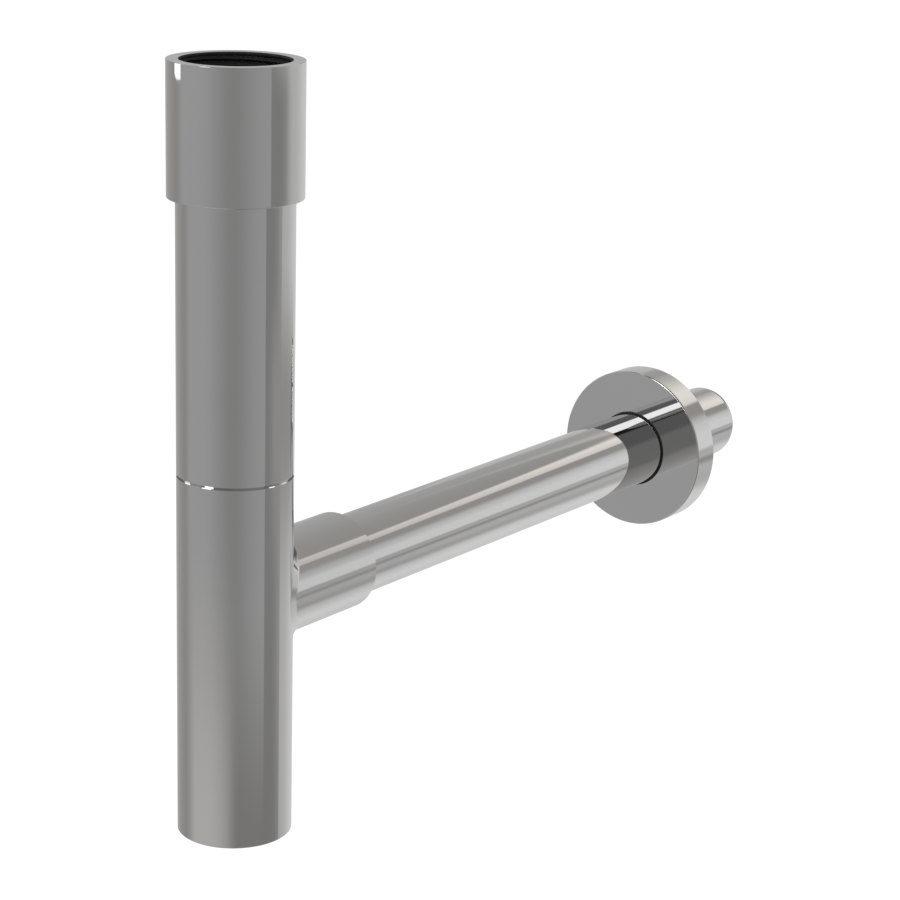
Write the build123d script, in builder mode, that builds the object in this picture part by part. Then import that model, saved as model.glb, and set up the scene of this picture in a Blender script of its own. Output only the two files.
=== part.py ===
from build123d import *
import os

# Basin trap, in millimetres. The upright axis is Z, and the outlet pipe runs along +Y towards the wall.
# The origin is on the upright axis at the first full turn of the inlet thread, just inside the nut's mouth.

# Upright tubes
tube_radius = 21.37
cover_wall = 1.2
body_wall = 1.8
edge_chamfer = 0.3
seam_chamfer = 0.5
seam_drop = 149.7
bottom_drop = 288.0

# Union nut
nut_height = 48.5
skirt_wall = 2.78
nut_edge_chamfer = 0.35
mouth_radius = 20.16
mouth_chamfer_height = 0.68
mouth_land = 0.32
thread_radius = 19.48
thread_length = 11.32
chamber_radius = 21.2
chamber_height = 6.0
lip_height = 3.0
skirt_clearance = 0.33

# Inlet tube and what seals it in the nut
dip_radius = 14.0
dip_wall = 1.5
flange_radius = 19.15
flange_height = 2.7
slip_ring_height = 1.0
gasket_radius = 19.0
gasket_height = 2.0
turning_clearance = 0.3
water_seal = 50.0

# Skirt ring that guides the cover tube
skirt_ring_rise = 2.5
ring_section_radius = 0.9
ring_clearance = 0.03
groove_side_clearance = 0.15

# Gland that grips the inlet tube at the seam
cover_engagement = 11.0
gland_clearance = 0.05
spigot_height = 9.0
gland_thread_height = 8.0
spanner_slot_width = 3.0
spanner_slot_depth = 2.6
spanner_slot_count = 4
spigot_ring_height = 3.6
washer_height = 1.5
neck_seal_height = 5.0
neck_seal_lip = 1.2
seat_ring_height = 2.0
seat_step = 0.3

# Closed bottom
base_thickness = 2.0
base_recess = 0.5
base_ledge = 0.7

# Outlet sleeve
outlet_drop = 197.9
sleeve_wall = 2.65
sleeve_end = 61.0
sleeve_chamfer = 1.0
bead_share = 1.08
bead_rounding_share = 0.75
passage_margin = 0.2
stop_distance = 24.0
sleeve_clearance = 0.35
outlet_ring_radius = 0.95
outlet_ring_places = (46.0, 54.0)

# Outlet pipe
pipe_radius = 16.0
pipe_wall = 1.0
pipe_start = 32.0
pipe_end = 336.0
pipe_end_round = 4.0

# Rosette
rosette_radius = 35.03
rosette_front = 270.7
rosette_depth = 13.0
rosette_wall = 1.5
rosette_chamfer = 0.5
hub_wall = 1.6
hub_depth = 9.5
grip_ring_wall = 0.92
grip_ring_length = 8.0
grip_ring_recess = 0.25

# Levels that follow from the sizes above
nut_top = mouth_land + mouth_chamfer_height
nut_bottom = nut_top - nut_height
thread_bottom = mouth_land - thread_length
chamber_bottom = thread_bottom - chamber_height
lip_bottom = chamber_bottom - lip_height
seam = nut_top - seam_drop
bottom = nut_top - bottom_drop
outlet_level = nut_top - outlet_drop
cover_top = nut_bottom + cover_engagement
skirt_ring_level = nut_bottom + skirt_ring_rise
skirt_radius = tube_radius + skirt_clearance
nut_radius = skirt_radius + skirt_wall
lip_radius = dip_radius + turning_clearance
slip_ring_top = chamber_bottom + slip_ring_height
flange_top = slip_ring_top + flange_height
gasket_top = flange_top + gasket_height
dip_inner_radius = dip_radius - dip_wall
pipe_inner_radius = pipe_radius - pipe_wall
dip_bottom = outlet_level - pipe_inner_radius - water_seal
cover_inner_radius = tube_radius - cover_wall
body_inner_radius = tube_radius - body_wall
body_thread_radius = body_inner_radius + seat_step
gland_radius = body_thread_radius - gland_clearance
gland_bottom = seam - gland_thread_height
gland_top = seam + spigot_height
washer_bottom = gland_bottom - washer_height
neck_seal_bottom = washer_bottom - neck_seal_height
seat_bottom = neck_seal_bottom - seat_ring_height
spigot_ring_level = seam + spigot_ring_height
base_radius = body_inner_radius + base_ledge
base_bottom = bottom + base_recess
base_top = base_bottom + base_thickness
sleeve_inner_radius = pipe_radius + sleeve_clearance
sleeve_radius = sleeve_inner_radius + sleeve_wall
passage_radius = pipe_inner_radius + passage_margin
sleeve_shoulder = tube_radius - sleeve_radius
root_bead = bead_share * sleeve_shoulder
bead_rounding = bead_rounding_share * root_bead
rosette_back = rosette_front + rosette_depth
grip_ring_inner_radius = pipe_radius + ring_clearance
grip_ring_outer_radius = grip_ring_inner_radius + grip_ring_wall
hub_radius = grip_ring_outer_radius + ring_clearance

# The sketch plane along the outlet: its first axis runs towards the wall, its second one up.
outlet_axis = Axis((0, 0, outlet_level), (0, 1, 0))
outlet_plane = Plane(origin=(0, 0, outlet_level), x_dir=(0, 1, 0), z_dir=(1, 0, 0))

os.makedirs("parts", exist_ok=True)

# Union nut: thread at the mouth, a chamber for gasket and flange, a lip under them, and a long skirt.
with BuildPart() as union_nut:
    with BuildSketch(Plane.XZ):
        with BuildLine():
            Polyline(
                (mouth_radius, nut_top),
                (nut_radius - nut_edge_chamfer, nut_top),
                (nut_radius, nut_top - nut_edge_chamfer),
                (nut_radius, nut_bottom + nut_edge_chamfer),
                (nut_radius - nut_edge_chamfer, nut_bottom),
                (skirt_radius, nut_bottom),
                (skirt_radius, lip_bottom),
                (lip_radius, lip_bottom),
                (lip_radius, chamber_bottom),
                (chamber_radius, chamber_bottom),
                (chamber_radius, thread_bottom),
                (thread_radius, thread_bottom),
                (thread_radius, mouth_land),
                (mouth_radius, nut_top),
            )
        make_face()
    revolve(axis=Axis.Z)
    skirt_ring_middle = tube_radius + ring_clearance + ring_section_radius
    with BuildSketch(Plane.XZ):
        with Locations((skirt_ring_middle, skirt_ring_level)):
            Rectangle(
                2 * ring_section_radius + 2 * ring_clearance,
                2 * ring_section_radius + 2 * groove_side_clearance,
            )
    revolve(axis=Axis.Z, mode=Mode.SUBTRACT)
union_nut.part.label = "union_nut"
export_step(union_nut.part, "parts/union_nut.step")

# Skirt ring: a rubber ring in the skirt's groove, which guides the cover tube.
with BuildPart() as skirt_ring:
    with Locations((0, 0, skirt_ring_level)):
        Torus(skirt_ring_middle, ring_section_radius)
skirt_ring.part.label = "skirt_ring"
export_step(skirt_ring.part, "parts/skirt_ring.step")

# Slip ring: lets the nut turn under the flange without dragging it round.
with BuildPart() as slip_ring:
    with BuildSketch(Plane.XY.offset(chamber_bottom)):
        Circle(flange_radius)
        Circle(lip_radius, mode=Mode.SUBTRACT)
    extrude(amount=slip_ring_height)
slip_ring.part.label = "slip_ring"
export_step(slip_ring.part, "parts/slip_ring.step")

# Inlet gasket: the flat ring that the basin waste presses on.
with BuildPart() as inlet_gasket:
    with BuildSketch(Plane.XY.offset(flange_top)):
        Circle(gasket_radius)
        Circle(dip_inner_radius, mode=Mode.SUBTRACT)
    extrude(amount=gasket_height)
inlet_gasket.part.label = "inlet_gasket"
export_step(inlet_gasket.part, "parts/inlet_gasket.step")

# Dip tube: hangs in the nut by its flange and ends under water near the bottom of the body.
with BuildPart() as dip_tube:
    with BuildSketch(Plane.XY.offset(dip_bottom)):
        Circle(dip_radius)
    extrude(amount=flange_top - dip_bottom)
    with BuildSketch(Plane.XY.offset(slip_ring_top)):
        Circle(flange_radius)
    extrude(amount=flange_height)
    with BuildSketch(Plane.XY.offset(dip_bottom)):
        Circle(dip_inner_radius)
    extrude(amount=flange_top - dip_bottom, mode=Mode.SUBTRACT)
    dip_foot = dip_tube.edges().group_by(Axis.Z)[0]
    chamfer(dip_foot, length=dip_wall / 4)
dip_tube.part.label = "dip_tube"
export_step(dip_tube.part, "parts/dip_tube.step")

# Cover tube: the bright upper tube, seated on the body and running up into the nut's skirt.
with BuildPart() as cover_tube:
    with BuildSketch(Plane.XY.offset(seam)):
        Circle(tube_radius)
        Circle(cover_inner_radius, mode=Mode.SUBTRACT)
    extrude(amount=cover_top - seam)
    cover_rims = cover_tube.edges().filter_by(GeomType.CIRCLE).group_by(SortBy.RADIUS)[-1].sort_by(Axis.Z)
    chamfer(cover_rims[0], length=seam_chamfer)
    chamfer(cover_rims[-1], length=edge_chamfer)
cover_tube.part.label = "cover_tube"
export_step(cover_tube.part, "parts/cover_tube.step")

# Gland nut: screwed into the body, with a spigot that the cover tube slips over and slots for a pin spanner.
with BuildPart() as gland_nut:
    with BuildSketch(Plane.XY.offset(gland_bottom)):
        Circle(gland_radius)
        Circle(lip_radius, mode=Mode.SUBTRACT)
    extrude(amount=gland_top - gland_bottom)
    spigot_rim = gland_nut.edges().filter_by(GeomType.CIRCLE).group_by(SortBy.RADIUS)[-1].sort_by(Axis.Z)[-1]
    chamfer(spigot_rim, length=edge_chamfer)
    spigot_ring_outer = cover_inner_radius - ring_clearance
    spigot_ring_middle = spigot_ring_outer - ring_section_radius
    with BuildSketch(Plane.XZ):
        with Locations((spigot_ring_middle, spigot_ring_level)):
            Rectangle(
                2 * ring_section_radius + 2 * ring_clearance,
                2 * ring_section_radius + 2 * groove_side_clearance,
            )
    revolve(axis=Axis.Z, mode=Mode.SUBTRACT)
    with BuildSketch(Plane.XY.offset(gland_top)):
        with PolarLocations((gland_radius + lip_radius) / 2, spanner_slot_count):
            Rectangle(gland_radius, spanner_slot_width)
    extrude(amount=-spanner_slot_depth, mode=Mode.SUBTRACT)
gland_nut.part.label = "gland_nut"
export_step(gland_nut.part, "parts/gland_nut.step")

# Spigot ring: a rubber ring that holds the cover tube on the spigot.
with BuildPart() as spigot_ring:
    with Locations((0, 0, spigot_ring_level)):
        Torus(spigot_ring_middle, ring_section_radius)
spigot_ring.part.label = "spigot_ring"
export_step(spigot_ring.part, "parts/spigot_ring.step")

# Pressure washer: stops the gland nut from twisting the seal.
with BuildPart() as pressure_washer:
    with BuildSketch(Plane.XY.offset(washer_bottom)):
        Circle(gland_radius)
        Circle(lip_radius, mode=Mode.SUBTRACT)
    extrude(amount=washer_height)
pressure_washer.part.label = "pressure_washer"
export_step(pressure_washer.part, "parts/pressure_washer.step")

# Neck seal: the rubber ring round the dip tube, with a bevel on its upper inner edge.
with BuildPart() as neck_seal:
    with BuildSketch(Plane.XZ):
        with BuildLine():
            Polyline(
                (dip_radius + gland_clearance, neck_seal_bottom),
                (gland_radius, neck_seal_bottom),
                (gland_radius, washer_bottom),
                (dip_radius + gland_clearance + neck_seal_lip, washer_bottom),
                (dip_radius + gland_clearance, washer_bottom - neck_seal_lip),
                (dip_radius + gland_clearance, neck_seal_bottom),
            )
        make_face()
    revolve(axis=Axis.Z)
neck_seal.part.label = "neck_seal"
export_step(neck_seal.part, "parts/neck_seal.step")

# Seat ring: stands on the step in the body and carries the seal.
with BuildPart() as seat_ring:
    with BuildSketch(Plane.XY.offset(seat_bottom)):
        Circle(gland_radius)
        Circle(lip_radius, mode=Mode.SUBTRACT)
    extrude(amount=seat_ring_height)
seat_ring.part.label = "seat_ring"
export_step(seat_ring.part, "parts/seat_ring.step")

# Body: the lower tube with its outlet sleeve brazed on, one bright piece.
# The brazed bead has the same width all round: a bevel on both walls, then its two borders are rounded.
with BuildPart() as lower_body:
    with BuildSketch(Plane.XZ):
        with BuildLine():
            Polyline(
                (0, bottom),
                (tube_radius - edge_chamfer, bottom),
                (tube_radius, bottom + edge_chamfer),
                (tube_radius, seam - seam_chamfer),
                (tube_radius - seam_chamfer, seam),
                (0, seam),
                (0, bottom),
            )
        make_face()
    revolve(axis=Axis.Z)
    with BuildSketch(outlet_plane):
        with BuildLine():
            Polyline(
                (0, 0),
                (sleeve_end, 0),
                (sleeve_end, sleeve_radius - sleeve_chamfer),
                (sleeve_end - sleeve_chamfer, sleeve_radius),
                (0, sleeve_radius),
                (0, 0),
            )
        make_face()
    revolve(axis=outlet_axis)
    round_edges = lower_body.edges().filter_by(GeomType.CIRCLE)
    straight_edges = lower_body.edges().filter_by(GeomType.LINE)
    sleeve_root = lower_body.edges() - round_edges - straight_edges
    chamfer(sleeve_root, length=root_bead)
    round_edges = lower_body.edges().filter_by(GeomType.CIRCLE)
    straight_edges = lower_body.edges().filter_by(GeomType.LINE)
    curved_edges = lower_body.edges() - round_edges - straight_edges
    bead_borders = curved_edges.sort_by(SortBy.LENGTH)[-2:]
    fillet(bead_borders, radius=bead_rounding)
    with BuildSketch(Plane.XZ):
        with BuildLine():
            Polyline(
                (0, bottom),
                (base_radius, bottom),
                (base_radius, base_top),
                (body_inner_radius, base_top),
                (body_inner_radius, seat_bottom),
                (body_thread_radius, seat_bottom),
                (body_thread_radius, seam),
                (0, seam),
                (0, bottom),
            )
        make_face()
    revolve(axis=Axis.Z, mode=Mode.SUBTRACT)
    with BuildSketch(outlet_plane):
        with BuildLine():
            Polyline(
                (0, 0),
                (0, passage_radius),
                (stop_distance, passage_radius),
                (stop_distance, sleeve_inner_radius),
                (sleeve_end, sleeve_inner_radius),
                (sleeve_end, 0),
                (0, 0),
            )
        make_face()
    revolve(axis=outlet_axis, mode=Mode.SUBTRACT)
    outlet_ring_middle = pipe_radius + ring_clearance + outlet_ring_radius
    with BuildSketch(outlet_plane):
        with Locations(*[(place, outlet_ring_middle) for place in outlet_ring_places]):
            Rectangle(
                2 * outlet_ring_radius + 2 * groove_side_clearance,
                2 * outlet_ring_radius + 2 * ring_clearance,
            )
    revolve(axis=outlet_axis, mode=Mode.SUBTRACT)
lower_body.part.label = "lower_body"
export_step(lower_body.part, "parts/lower_body.step")

# Base plate: closes the body, set up a little inside its lower edge.
with BuildPart() as base_plate:
    with BuildSketch(Plane.XY.offset(base_bottom)):
        Circle(base_radius - gland_clearance)
    extrude(amount=base_thickness)
base_plate.part.label = "base_plate"
export_step(base_plate.part, "parts/base_plate.step")

# Outlet rings: two rubber rings in the sleeve that grip the pipe.
with BuildPart() as outlet_rings:
    for place in outlet_ring_places:
        with Locations(Location((0, place, outlet_level), (90, 0, 0))):
            Torus(outlet_ring_middle, outlet_ring_radius)
outlet_rings.part.label = "outlet_rings"
export_step(outlet_rings.part, "parts/outlet_rings.step")

# Outlet pipe: a bright tube whose wall end is drawn in to a rounded lip.
with BuildPart() as outlet_pipe:
    round_start = pipe_end - pipe_end_round
    lip_reach = pipe_end_round - pipe_wall
    with BuildSketch(outlet_plane):
        with BuildLine():
            Line((pipe_start, pipe_inner_radius), (pipe_start, pipe_radius))
            Line((pipe_start, pipe_radius), (round_start, pipe_radius))
            RadiusArc((round_start, pipe_radius), (pipe_end, pipe_radius - pipe_end_round), pipe_end_round)
            Line((pipe_end, pipe_radius - pipe_end_round), (round_start + lip_reach, pipe_radius - pipe_end_round))
            RadiusArc(
                (round_start + lip_reach, pipe_radius - pipe_end_round),
                (round_start, pipe_inner_radius),
                -lip_reach,
            )
            Line((round_start, pipe_inner_radius), (pipe_start, pipe_inner_radius))
        make_face()
    revolve(axis=outlet_axis)
outlet_pipe.part.label = "outlet_pipe"
export_step(outlet_pipe.part, "parts/outlet_pipe.step")

# Rosette: a drawn cup with a flat front, a straight rim, and a neck round the pipe.
with BuildPart() as rosette:
    with BuildSketch(outlet_plane):
        with BuildLine():
            Polyline(
                (rosette_front, hub_radius),
                (rosette_front, rosette_radius - rosette_chamfer),
                (rosette_front + rosette_chamfer, rosette_radius),
                (rosette_back, rosette_radius),
                (rosette_back, rosette_radius - rosette_wall),
                (rosette_front + rosette_wall, rosette_radius - rosette_wall),
                (rosette_front + rosette_wall, hub_radius + hub_wall),
                (rosette_front + hub_depth, hub_radius + hub_wall),
                (rosette_front + hub_depth, hub_radius),
                (rosette_front, hub_radius),
            )
        make_face()
    revolve(axis=outlet_axis)
rosette.part.label = "rosette"
export_step(rosette.part, "parts/rosette.step")

# Grip ring: a rubber bush in the rosette's neck, which holds it anywhere along the pipe.
with BuildPart() as grip_ring:
    with BuildSketch(outlet_plane):
        with Locations((rosette_front + grip_ring_recess, grip_ring_inner_radius)):
            Rectangle(grip_ring_length, grip_ring_wall, align=(Align.MIN, Align.MIN))
    revolve(axis=outlet_axis)
grip_ring.part.label = "grip_ring"
export_step(grip_ring.part, "parts/grip_ring.step")
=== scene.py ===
import math

import bpy
from mathutils import Matrix, Vector


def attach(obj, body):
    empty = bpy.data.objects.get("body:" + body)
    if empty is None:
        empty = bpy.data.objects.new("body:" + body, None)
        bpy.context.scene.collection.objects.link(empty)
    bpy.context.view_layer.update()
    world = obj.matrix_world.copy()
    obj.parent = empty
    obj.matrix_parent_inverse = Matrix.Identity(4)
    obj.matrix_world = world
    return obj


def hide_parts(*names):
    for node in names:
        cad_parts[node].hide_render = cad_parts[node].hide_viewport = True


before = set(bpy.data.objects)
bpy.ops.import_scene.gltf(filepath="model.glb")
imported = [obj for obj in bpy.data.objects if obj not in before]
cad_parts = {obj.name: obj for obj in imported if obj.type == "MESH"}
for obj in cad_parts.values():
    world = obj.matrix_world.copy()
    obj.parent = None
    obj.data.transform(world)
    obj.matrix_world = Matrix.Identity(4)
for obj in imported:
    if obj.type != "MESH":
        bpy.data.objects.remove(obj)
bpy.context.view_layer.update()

mm = 0.001
print("stage: frame loaded,", len(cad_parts), "nodes")


# A Wire is one output socket of a shader node, and sums with wires add Math nodes.
class Wire:
    def __init__(self, shader, socket):
        self.shader = shader
        self.socket = socket

    def __add__(self, other):
        return self.shader.maths("ADD", self, other)

    def __sub__(self, other):
        return self.shader.maths("SUBTRACT", self, other)

    def __rsub__(self, other):
        return self.shader.maths("SUBTRACT", other, self)

    def __mul__(self, other):
        return self.shader.maths("MULTIPLY", self, other)

    __radd__ = __add__
    __rmul__ = __mul__


class Shader:
    def __init__(self, tree):
        self.tree = tree
        tree.nodes.clear()

    # Makes one node: its type, then its settings, then the values or wires of its sockets.
    def node(self, kind, settings=None, sockets=None):
        made = self.tree.nodes.new(kind)
        for name, value in (settings or {}).items():
            setattr(made, name, value)
        for name, value in (sockets or {}).items():
            if isinstance(value, Wire):
                self.tree.links.new(value.socket, made.inputs[name])
            else:
                made.inputs[name].default_value = value
        return made

    def wire(self, made, output=0):
        return Wire(self, made.outputs[output])

    def maths(self, operation, *values):
        made = self.node("ShaderNodeMath", {"operation": operation}, dict(enumerate(values)))
        return self.wire(made)

    def wrapAngle(self, angle):
        return self.maths("WRAP", angle, math.pi, -math.pi)

    # A soft step up at an angle in degrees, as wide as its edge
    def rise(self, value, angle, edge):
        low = math.radians(angle - edge / 2)
        high = math.radians(angle + edge / 2)
        made = self.node(
            "ShaderNodeMapRange",
            {"interpolation_type": "SMOOTHSTEP"},
            {"Value": value, "From Min": low, "From Max": high},
        )
        return self.wire(made)

    # A Mix node takes its colours at inputs 6 and 7, and gives the mix at output 2.
    def mixColour(self, factor, colourA, colourB):
        made = self.node("ShaderNodeMix", {"data_type": "RGBA"}, {0: factor, 6: colourA, 7: colourB})
        return self.wire(made, 2)

    def place(self):
        return self.wire(self.node("ShaderNodeTexCoord"), "Object")

    def parts(self, vector):
        made = self.node("ShaderNodeSeparateXYZ", None, {"Vector": vector})
        return [self.wire(made, axis) for axis in "XYZ"]

    def stretch(self, vector, scales):
        made = self.node("ShaderNodeVectorMath", {"operation": "MULTIPLY"}, {0: vector, 1: scales})
        return self.wire(made)

    def noise(self, vector, scale, detail=3.0):
        sockets = {"Vector": vector, "Scale": scale, "Detail": detail}
        return self.wire(self.node("ShaderNodeTexNoise", None, sockets))

    def bump(self, height, strength, distance):
        sockets = {"Height": height, "Strength": strength, "Distance": distance}
        return self.wire(self.node("ShaderNodeBump", None, sockets))

    def surface(self, sockets):
        self.output("ShaderNodeOutputMaterial", self.node("ShaderNodeBsdfPrincipled", None, sockets))

    def output(self, kind, made):
        self.node(kind, None, {"Surface": self.wire(made)})


def grey(level, warmth=0.0):
    return (level * (1 + warmth), level, level * (1 - warmth), 1.0)


def newMaterial(name):
    material = bpy.data.materials.new(name)
    material.use_nodes = True
    return material, Shader(material.node_tree)


# Finishes: a scale is in noise cells per metre, and a bump's height is in metres.
chromeLook = dict(
    reflectance=0.58,
    variation=0.012,
    coolTint=-0.004,
    warmTint=0.006,
    roughness=0.014,
    haze=0.012,
    cloudScale=22.0,
    fineScale=900.0,
    waveScale=60.0,
    waveStrength=0.15,
    waveHeight=0.000006,
)


def makeChrome():
    look = chromeLook
    material, shader = newMaterial("polishedChrome")
    where = shader.place()
    cloud = shader.noise(where, look["cloudScale"], detail=2.0)
    fine = shader.noise(where, look["fineScale"], detail=2.0)
    wave = shader.noise(where, look["waveScale"], detail=1.0)
    cool = grey(look["reflectance"] - look["variation"], look["coolTint"])
    warm = grey(look["reflectance"] + look["variation"], look["warmTint"])
    shader.surface(
        {
            "Base Color": shader.mixColour(cloud, cool, warm),
            "Metallic": 1.0,
            "Roughness": look["roughness"] + cloud * look["haze"] * fine,
            "Normal": shader.bump(wave, look["waveStrength"], look["waveHeight"]),
        }
    )
    return material


# Inside faces that nobody polishes: plated and dull, with faint turning lines. Their near-black colour
# is painted shade, standing in for the shade deep inside the nut.
boreLook = dict(
    # near black: painted shade inside the nut
    level=0.05,
    spread=0.2,
    metallic=0.75,
    roughness=0.75,
    patchScale=120.0,
    lineScales=(20.0, 20.0, 2600.0),
    lineRoughness=0.15,
    lineStrength=0.2,
    lineHeight=0.00005,
)


def makeBore():
    look = boreLook
    material, shader = newMaterial("boreWithPaintedShade")
    where = shader.place()
    lines = shader.noise(shader.stretch(where, look["lineScales"]), 1.0, detail=2.0)
    patch = shader.noise(where, look["patchScale"])
    dark = grey(look["level"] * (1 - look["spread"]))
    light = grey(look["level"] * (1 + look["spread"]))
    shader.surface(
        {
            "Base Color": shader.mixColour(patch, dark, light),
            "Metallic": look["metallic"],
            "Roughness": look["roughness"] + lines * look["lineRoughness"],
            "Normal": shader.bump(lines, look["lineStrength"], look["lineHeight"]),
        }
    )
    return material


brassLook = dict(
    fresh=(0.60, 0.42, 0.19, 1.0),
    worn=(0.50, 0.33, 0.14, 1.0),
    roughness=0.26,
    patchScale=160.0,
    patchRoughness=0.16,
    ringScale=14000.0,
    ringStrength=0.2,
    ringHeight=0.00003,
)


def makeBrass():
    look = brassLook
    material, shader = newMaterial("turnedBrass")
    where = shader.place()
    x, y = shader.parts(where)[:2]
    radius = shader.maths("SQRT", x * x + y * y)
    rings = shader.maths("SINE", radius * look["ringScale"])
    patch = shader.noise(where, look["patchScale"])
    shader.surface(
        {
            "Base Color": shader.mixColour(patch, look["fresh"], look["worn"]),
            "Metallic": 1.0,
            "Roughness": look["roughness"] + patch * look["patchRoughness"],
            "Normal": shader.bump(rings + patch, look["ringStrength"], look["ringHeight"]),
        }
    )
    return material


rubberLook = dict(
    dark=0.016,
    light=0.028,
    shine=0.4,
    roughness=0.62,
    bloomScale=90.0,
    bloomRoughness=0.18,
    grainScale=1400.0,
    grainStrength=0.3,
    grainHeight=0.00004,
)


def makeRubber():
    look = rubberLook
    material, shader = newMaterial("blackRubber")
    where = shader.place()
    grain = shader.noise(where, look["grainScale"], detail=4.0)
    bloom = shader.noise(where, look["bloomScale"])
    shader.surface(
        {
            "Base Color": shader.mixColour(bloom, grey(look["dark"]), grey(look["light"])),
            "Roughness": look["roughness"] + bloom * look["bloomRoughness"],
            "Specular IOR Level": look["shine"],
            "Normal": shader.bump(grain, look["grainStrength"], look["grainHeight"]),
        }
    )
    return material


plasticLook = dict(
    black=dict(dark=0.018, light=0.026, roughness=0.38),
    white=dict(dark=0.72, light=0.80, roughness=0.36),
    flowStretch=(1.0, 1.0, 0.2),
    flowScale=140.0,
    flowRoughness=0.12,
    grainScale=2200.0,
    grainStrength=0.12,
    grainHeight=0.00002,
)


def makePlastic(name, shade):
    look = plasticLook
    tone = look[shade]
    material, shader = newMaterial(name)
    where = shader.place()
    flow = shader.noise(shader.stretch(where, look["flowStretch"]), look["flowScale"])
    grain = shader.noise(where, look["grainScale"], detail=2.0)
    shader.surface(
        {
            "Base Color": shader.mixColour(flow, grey(tone["dark"]), grey(tone["light"])),
            "Roughness": tone["roughness"] + flow * look["flowRoughness"],
            "Normal": shader.bump(grain, look["grainStrength"], look["grainHeight"]),
        }
    )
    return material


chrome = makeChrome()
bore = makeBore()
brass = makeBrass()
rubber = makeRubber()
blackPlastic = makePlastic("blackPlastic", "black")
whitePlastic = makePlastic("whitePlastic", "white")
print("stage: materials made")

# Turned pieces: a closed section of corners, each rounded a little, goes round an axis.
straightTurn = 0.02  # a corner that turns by less than this, in radians, stays sharp


def roundCorner(before, corner, after, radius, steps):
    toBefore = (before - corner).normalized()
    toAfter = (after - corner).normalized()
    turn = math.pi - toBefore.angle(toAfter)
    if radius <= 0 or turn < straightTurn:
        return [corner]
    reach = radius * math.tan(turn / 2)
    centre = corner + (toBefore + toAfter).normalized() * (radius / math.cos(turn / 2))
    first = (corner + toBefore * reach - centre) / radius
    last = (corner + toAfter * reach - centre) / radius
    side = (last - first * math.cos(turn)) / math.sin(turn)
    points = []
    for step in range(steps + 1):
        angle = turn * step / steps
        points.append(centre + (first * math.cos(angle) + side * math.sin(angle)) * radius)
    return points


# corners: (radius, height, rounding) in millimetres. Each corner gives one run of points.
def roundedSection(corners, steps):
    runs = []
    for index, (radius, height, rounding) in enumerate(corners):
        before = Vector(corners[index - 1][:2])
        after = Vector(corners[(index + 1) % len(corners)][:2])
        points = roundCorner(before, Vector((radius, height)), after, rounding, steps)
        runs.append([(point.x, point.y) for point in points])
    return runs


# rings: one section of (radius, height) points per turn step. marks: one material slot per row.
def turnedMesh(name, rings, marks, toPlace):
    rows = len(rings[0])
    verts = []
    for turn, ring in enumerate(rings):
        angle = 2 * math.pi * turn / len(rings)
        for radius, height in ring:
            spot = Vector((radius * math.cos(angle), radius * math.sin(angle), height))
            verts.append(toPlace @ (spot * mm))
    faces = []
    slots = []
    for turn in range(len(rings)):
        here = turn * rows
        there = ((turn + 1) % len(rings)) * rows
        for row in range(rows):
            after = (row + 1) % rows
            faces.append((here + row, here + after, there + after, there + row))
            slots.append(marks[row])
    mesh = bpy.data.meshes.new(name)
    mesh.from_pydata(verts, [], faces)
    mesh.update()
    mesh.polygons.foreach_set("use_smooth", [True] * len(faces))
    mesh.polygons.foreach_set("material_index", slots)
    piece = bpy.data.objects.new(name, mesh)
    bpy.context.scene.collection.objects.link(piece)
    return piece


# Keeps flat faces flat in shading, next to their rounded edges
def fixNormals(piece):
    weighted = piece.modifiers.new("evenShading", "WEIGHTED_NORMAL")
    weighted.mode = "FACE_AREA"
    weighted.weight = 100
    weighted.keep_sharp = True


def finishPiece(piece, body, materials, replaced):
    for material in materials:
        piece.data.materials.append(material)
    fixNormals(piece)
    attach(piece, body)
    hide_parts(replaced)
    return piece


# Union nut: its thread is cut here, because the solid has a plain bore at the crests' radius.
nutLook = dict(
    outerRadius=24.48,
    top=1.0,
    bottom=-47.5,
    edge=0.35,
    topEdge=0.15,
    innerEdge=0.2,
    mouthRadius=20.16,
    mouthLand=0.32,
    mouthBevel=0.06,
    mouthStep=0.05,
    crestRadius=19.48,
    rootRadius=20.85,
    pitch=2.309,
    fade=1.5,
    threadBottom=-11.0,
    threadRelief=0.01,
    chamberRadius=21.2,
    chamberBottom=-17.0,
    lipRadius=14.3,
    lipBottom=-20.0,
    skirtRadius=21.7,
    grooveLevel=-45.0,
    grooveRadius=23.23,
    grooveHalf=1.05,
    rowsPerPitch=14,
    roundingSteps=4,
    segments=256,
)
upright = Matrix.Identity(4)


def nutCorners():
    look = nutLook
    grooveLow = look["grooveLevel"] - look["grooveHalf"]
    grooveHigh = look["grooveLevel"] + look["grooveHalf"]
    outside = [
        (look["mouthRadius"] + look["mouthBevel"], look["top"], 0.0),
        (look["outerRadius"], look["top"], look["topEdge"]),
        (look["outerRadius"], look["bottom"], look["edge"]),
        (look["skirtRadius"], look["bottom"], look["innerEdge"]),
    ]
    inside = [
        (look["skirtRadius"], grooveLow, 0.0),
        (look["grooveRadius"], grooveLow, 0.0),
        (look["grooveRadius"], grooveHigh, 0.0),
        (look["skirtRadius"], grooveHigh, 0.0),
        (look["skirtRadius"], look["lipBottom"], look["innerEdge"]),
        (look["lipRadius"], look["lipBottom"], look["innerEdge"]),
        (look["lipRadius"], look["chamberBottom"], look["innerEdge"]),
        (look["chamberRadius"], look["chamberBottom"], look["innerEdge"]),
        (look["chamberRadius"], look["threadBottom"] - look["threadRelief"], 0.0),
    ]
    return outside, inside


# A rounded V: 0 at the crests and 1 at the roots
def threadShape(phase):
    wave = 1 - abs(2 * (phase % 1.0) - 1)
    return wave * wave * (3 - 2 * wave)


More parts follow.
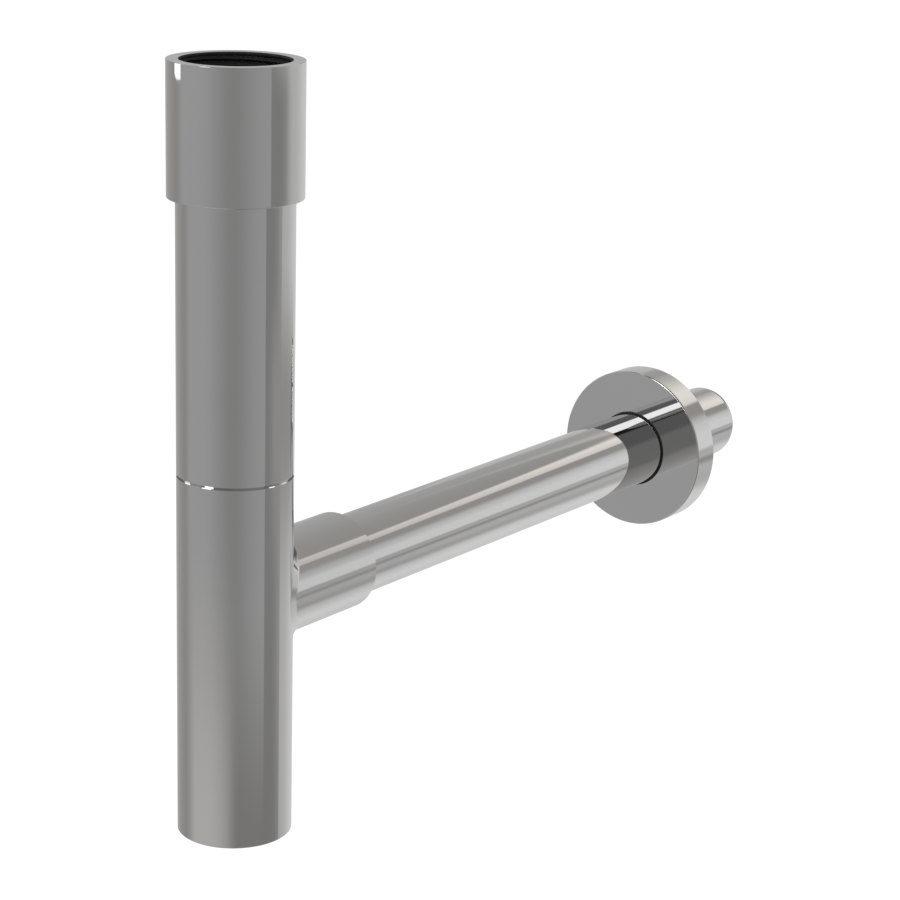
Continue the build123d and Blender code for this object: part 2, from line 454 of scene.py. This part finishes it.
# The thread's points, bottom to top, at one share of a full turn. It fades out at both ends.
def threadRun(share):
    look = nutLook
    length = look["mouthLand"] - look["threadBottom"]
    rows = int(length / look["pitch"] * look["rowsPerPitch"])
    run = []
    for row in range(rows + 1):
        level = look["threadBottom"] + length * row / rows
        toEnd = min(level - look["threadBottom"], look["mouthLand"] - level)
        depth = min(1.0, max(0.0, toEnd / look["fade"]))
        cut = threadShape(level / look["pitch"] - share) * depth
        run.append((look["crestRadius"] + (look["rootRadius"] - look["crestRadius"]) * cut, level))
    return run


def makeNut():
    look = nutLook
    outside, inside = nutCorners()
    runs = roundedSection(outside + inside, look["roundingSteps"])
    turned = sum(runs, [])
    mouth = (look["mouthRadius"] - look["mouthStep"], look["top"] - look["mouthBevel"])
    rings = [turned + threadRun(turn / look["segments"]) + [mouth] for turn in range(look["segments"])]
    outsideRows = sum(len(run) for run in runs[:len(outside)])
    insideRows = len(rings[0]) - outsideRows - 1
    marks = [0] * outsideRows + [1] * insideRows + [0]  # chrome outside and at the mouth, bore inside
    piece = turnedMesh("union_nut_threaded", rings, marks, upright)
    return finishPiece(piece, "nut", [chrome, bore], "union_nut")


nut = makeNut()
print("stage: union nut made,", len(nut.data.polygons), "faces")

# Rosette: its drawn edges are rounded, and its lip covers most of the grip ring's front.
rosetteLook = dict(
    level=-196.9,
    front=270.7,
    lipBack=270.94,
    faceBack=272.2,
    neckBack=280.2,
    rimBack=283.7,
    lipRadius=16.72,
    neckInside=16.98,
    neckOutside=18.58,
    rimInside=33.53,
    rimRadius=35.03,
    lipEdge=0.1,
    neckEdge=0.3,
    cornerEdge=0.6,
    rimEdge=0.25,
    frontEdge=0.55,
    roundingSteps=6,
    segments=256,
)
outletAxis = Matrix.Translation((0.0, 0.0, rosetteLook["level"] * mm))
alongOutlet = outletAxis @ Matrix.Rotation(-math.pi / 2, 4, "X")


def makeRosette():
    look = rosetteLook
    corners = [
        (look["lipRadius"], look["lipBack"], 0.0),
        (look["neckInside"], look["lipBack"], 0.0),
        (look["neckInside"], look["neckBack"], look["neckEdge"]),
        (look["neckOutside"], look["neckBack"], look["neckEdge"]),
        (look["neckOutside"], look["faceBack"], look["neckEdge"]),
        (look["rimInside"], look["faceBack"], look["cornerEdge"]),
        (look["rimInside"], look["rimBack"], look["rimEdge"]),
        (look["rimRadius"], look["rimBack"], look["rimEdge"]),
        (look["rimRadius"], look["front"], look["frontEdge"]),
        (look["lipRadius"], look["front"], look["lipEdge"]),
    ]
    section = sum(roundedSection(corners, look["roundingSteps"]), [])
    rings = [section] * look["segments"]
    piece = turnedMesh("rosette_rounded", rings, [0] * len(section), alongOutlet)
    return finishPiece(piece, "wall_rosette", [chrome], "rosette")


rosette = makeRosette()
print("stage: rosette made,", len(rosette.data.polygons), "faces")

# Finishes of the solids that stay
nodeFinish = {
    "cover_tube": chrome,
    "lower_body": chrome,
    "base_plate": chrome,
    "outlet_pipe": chrome,
    "gland_nut": brass,
    "seat_ring": brass,
    "slip_ring": brass,
    "dip_tube": blackPlastic,
    "pressure_washer": whitePlastic,
    "inlet_gasket": rubber,
    "skirt_ring": rubber,
    "spigot_ring": rubber,
    "neck_seal": rubber,
    "outlet_rings": rubber,
    "grip_ring": rubber,
}
for name, material in nodeFinish.items():
    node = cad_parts[name]
    node.data.materials.clear()
    node.data.materials.append(material)
print("stage: finishes given to", len(nodeFinish), "nodes")

# Camera: the photograph's own view. Angles are in degrees.
cameraLook = dict(
    place=(0.59210, -0.68399, 0.11672),
    azimuth=35.96,
    pitch=15.78,
    roll=1.45,
    lens=103.69,
    sensor=36.0,
    nearClip=0.01,
    farClip=60.0,
)


def makeCamera():
    look = cameraLook
    azimuth = math.radians(look["azimuth"])
    pitch = math.radians(look["pitch"])
    roll = math.radians(look["roll"])
    forward = Vector(
        (-math.sin(azimuth) * math.cos(pitch), math.cos(azimuth) * math.cos(pitch), -math.sin(pitch))
    )
    level = Vector((math.cos(azimuth), math.sin(azimuth), 0.0))
    upward = level.cross(forward)
    right = level * math.cos(roll) + upward * math.sin(roll)
    above = upward * math.cos(roll) - level * math.sin(roll)
    turn = Matrix((right, above, -forward)).transposed()
    data = bpy.data.cameras.new("photoCamera")
    data.lens = look["lens"]
    data.sensor_width = look["sensor"]
    data.clip_start = look["nearClip"]
    data.clip_end = look["farClip"]
    camera = bpy.data.objects.new("photoCamera", data)
    camera.matrix_world = Matrix.Translation(look["place"]) @ turn.to_4x4()
    bpy.context.scene.collection.objects.link(camera)
    bpy.context.scene.camera = camera


makeCamera()

# Studio: a white backdrop, and panels that only shine in the metal. Each panel is laid over
# those before it. Its angles are in degrees, with azimuth 0 along +Y and 90 along +X. It
# reaches half to either side, and left, right, lowEdge and highEdge say how wide its soft
# edges are. A bend lifts its lower edge away from its middle, on the right side.
studioLook = dict(base=1.0, softLight=0.62, softEdge=4)
studioPanels = [
    dict(
        name="tent", azimuth=175.8, half=145.1, left=71, right=1.1,
        low=-89, high=89, level=0.314, warmth=0.008,
    ),
    dict(
        name="ceiling", azimuth=0, half=179, left=1, right=1,
        low=19.2, high=89, lowEdge=6, level=0.434, warmth=0.045,
    ),
    dict(
        name="backdropShade", azimuth=9.1, half=30.3, left=26, right=24,
        low=-26.4, high=15.7, lowEdge=8, highEdge=8, level=0.922,
    ),
    dict(
        name="window", azimuth=42.7, half=11.0, left=1.3, right=80,
        low=-7.4, high=9.0, lowEdge=1.8, highEdge=10, level=1.007,
    ),
    dict(
        name="screen", azimuth=29.0, half=6.5, left=80, right=80,
        low=-33.2, high=-6.2, lowEdge=5.3, highEdge=3.5, level=0.262, warmth=0.045,
    ),
    dict(
        name="rightWall", azimuth=100.0, half=20.8, left=2.5, right=80,
        low=-89, high=89, level=0.463,
    ),
    dict(
        name="frontGlow", azimuth=207.3, half=38.8, left=80, right=24.7,
        low=-89, high=89, level=0.496,
    ),
    dict(
        name="leftScreen", azimuth=264.4, half=2.5, left=80, right=80,
        low=-89, high=89, level=0.55, warmth=0.035,
    ),
    dict(
        name="leftWall", azimuth=312.3, half=29.2, left=72.6, right=80,
        low=-89, high=89, level=0.542, warmth=0.006,
    ),
    dict(
        name="lowFront", azimuth=195.2, half=36.7, left=80, right=15.8,
        low=-89, high=-20.8, highEdge=8, level=0.645, warmth=0.032,
    ),
    dict(
        name="lowRight", azimuth=94.8, half=48.1, left=38, right=25.2,
        low=-89, high=-22, highEdge=6, level=0.288, warmth=0.017,
    ),
    dict(
        name="shadeBand", azimuth=27.5, half=37, left=2.9, right=22.8,
        low=-17.5, high=-13.1, lowEdge=4.5, highEdge=3.4, level=0.42, warmth=0.018,
    ),
    dict(
        name="lightStrip", azimuth=10.8, half=18.2, left=39.4, right=50.6,
        low=28.0, high=34.8, lowEdge=2, highEdge=2, level=1.2, warmth=0.055,
    ),
    dict(
        name="leftShade", azimuth=281, half=13, left=4, right=4,
        low=5, high=28, lowEdge=3, highEdge=3, level=0.17,
    ),
    dict(
        name="rightShade", azimuth=352, half=13, left=4, right=4,
        low=3, high=25, lowEdge=3, highEdge=3, level=0.17,
    ),
    dict(
        name="darkTop", azimuth=0, half=181, left=1, right=1,
        low=52, high=95, lowEdge=8, level=0.2,
    ),
    dict(
        name="frontCanopy", azimuth=180, half=36, left=10, right=10,
        low=17, high=46, lowEdge=8, level=0.23,
    ),
    dict(
        name="sideGlow", azimuth=216, half=6, left=4, right=6,
        low=1, high=17, lowEdge=4, highEdge=5, level=0.62,
    ),
    dict(
        name="frontStrip", azimuth=192.5, half=8.5, left=1, right=2,
        low=26, high=40, lowEdge=1, highEdge=2, level=2.3,
    ),
    dict(
        name="blackGap", azimuth=179, half=5, left=3, right=0.8,
        low=33.2, high=36.5, lowEdge=1, highEdge=1, level=0.03,
    ),
    dict(
        name="frontLamp", azimuth=192.5, half=9, left=2, right=2,
        low=4, high=24, lowEdge=2, highEdge=1, level=6.0,
    ),
    dict(
        name="topCard", azimuth=226, half=9, left=1, right=1,
        low=51, high=62, lowEdge=1, highEdge=1, level=2.2,
    ),
    dict(
        name="sideCard", azimuth=262, half=5, left=1, right=1,
        low=30, high=38, lowEdge=1, highEdge=1, level=1.7,
    ),
    dict(
        name="backCard", azimuth=36.5, half=5, left=1, right=1,
        low=44, high=52, lowEdge=1, highEdge=1, level=1.9,
    ),
    dict(
        name="smallCard", azimuth=249.5, half=8.5, left=0.5, right=0.5,
        low=-7.745, high=25, lowEdge=0.02, highEdge=2, level=1.7, bend=0.1,
    ),
]


def makeWorld():
    soft = studioLook["softEdge"]
    world = bpy.data.worlds.new("studio")
    world.use_nodes = True
    bpy.context.scene.world = world
    shader = Shader(world.node_tree)
    direction = shader.wire(shader.node("ShaderNodeTexCoord"), "Generated")
    x, y, z = shader.parts(direction)
    azimuth = shader.maths("ARCTAN2", x, y)
    elevation = shader.maths("ARCSINE", z)
    walls = grey(studioLook["base"])
    for panel in studioPanels:
        offset = shader.wrapAngle(azimuth - math.radians(panel["azimuth"]))
        fromLeft = shader.rise(offset, -panel["half"], panel["left"])
        toRight = shader.rise(offset, panel["half"], panel["right"])
        height = elevation
        if "bend" in panel:
            side = shader.maths("MAXIMUM", offset, 0.0)
            height = elevation - side * side * panel["bend"]
        fromBelow = shader.rise(height, panel["low"], panel.get("lowEdge", soft))
        toAbove = shader.rise(elevation, panel["high"], panel.get("highEdge", soft))
        share = fromLeft * (1 - toRight) * fromBelow * (1 - toAbove)
        walls = shader.mixColour(share, walls, grey(panel["level"], panel.get("warmth", 0.0)))
    rays = shader.node("ShaderNodeLightPath")
    direct = shader.wire(rays, "Is Camera Ray")
    seen = shader.maths("MAXIMUM", direct, shader.wire(rays, "Is Transmission Ray"))
    glossy = shader.wire(rays, "Is Glossy Ray")
    colour = shader.mixColour(seen, grey(studioLook["softLight"]), grey(1.0))
    colour = shader.mixColour(glossy, colour, walls)
    background = shader.node("ShaderNodeBackground", None, {"Color": colour, "Strength": 1.0})
    shader.output("ShaderNodeOutputWorld", background)


makeWorld()

floorLook = dict(size=30.0, level=-0.75, colour=0.82, glow=1.15, share=0.82)


def makeFloor():
    look = floorLook
    half = look["size"] / 2
    corners = [(-half, -half), (half, -half), (half, half), (-half, half)]
    mesh = bpy.data.meshes.new("floor")
    mesh.from_pydata([(x, y, look["level"]) for x, y in corners], [], [(0, 1, 2, 3)])
    floor = bpy.data.objects.new("floor", mesh)
    bpy.context.scene.collection.objects.link(floor)
    floor.visible_glossy = False
    material, shader = newMaterial("paleFloor")
    rays = shader.node("ShaderNodeLightPath")
    direct = shader.wire(rays, "Is Camera Ray")
    seen = shader.maths("MAXIMUM", direct, shader.wire(rays, "Is Glossy Ray"))
    seen = shader.maths("MAXIMUM", seen, shader.wire(rays, "Is Transmission Ray"))
    matte = shader.node("ShaderNodeBsdfDiffuse", None, {"Color": grey(look["colour"])})
    glow = shader.node("ShaderNodeEmission", None, {"Color": grey(1.0), "Strength": look["glow"]})
    mixed = shader.node(
        "ShaderNodeMixShader",
        None,
        {0: seen * look["share"], 1: shader.wire(matte), 2: shader.wire(glow)},
    )
    shader.output("ShaderNodeOutputMaterial", mixed)
    mesh.materials.append(material)


makeFloor()

lampLook = dict(
    target=(0.0, 0.12, -0.15),
    lamps=[
        dict(name="keyLamp", place=(-1.6, -1.8, 1.9), size=1.6, power=26),
        dict(name="fillLamp", place=(2.2, -1.0, 1.2), size=1.8, power=14),
    ],
)


def makeLamps():
    target = Vector(lampLook["target"])
    for look in lampLook["lamps"]:
        data = bpy.data.lights.new(look["name"], "AREA")
        data.size = look["size"]
        data.energy = look["power"]
        lamp = bpy.data.objects.new(look["name"], data)
        lamp.location = look["place"]
        lamp.rotation_mode = "QUATERNION"
        lamp.rotation_quaternion = (target - lamp.location).to_track_quat("-Z", "Y")
        lamp.visible_glossy = False
        bpy.context.scene.collection.objects.link(lamp)


makeLamps()
bpy.context.scene.view_settings.view_transform = "Standard"
print("stage: studio, floor, lamps and camera set")
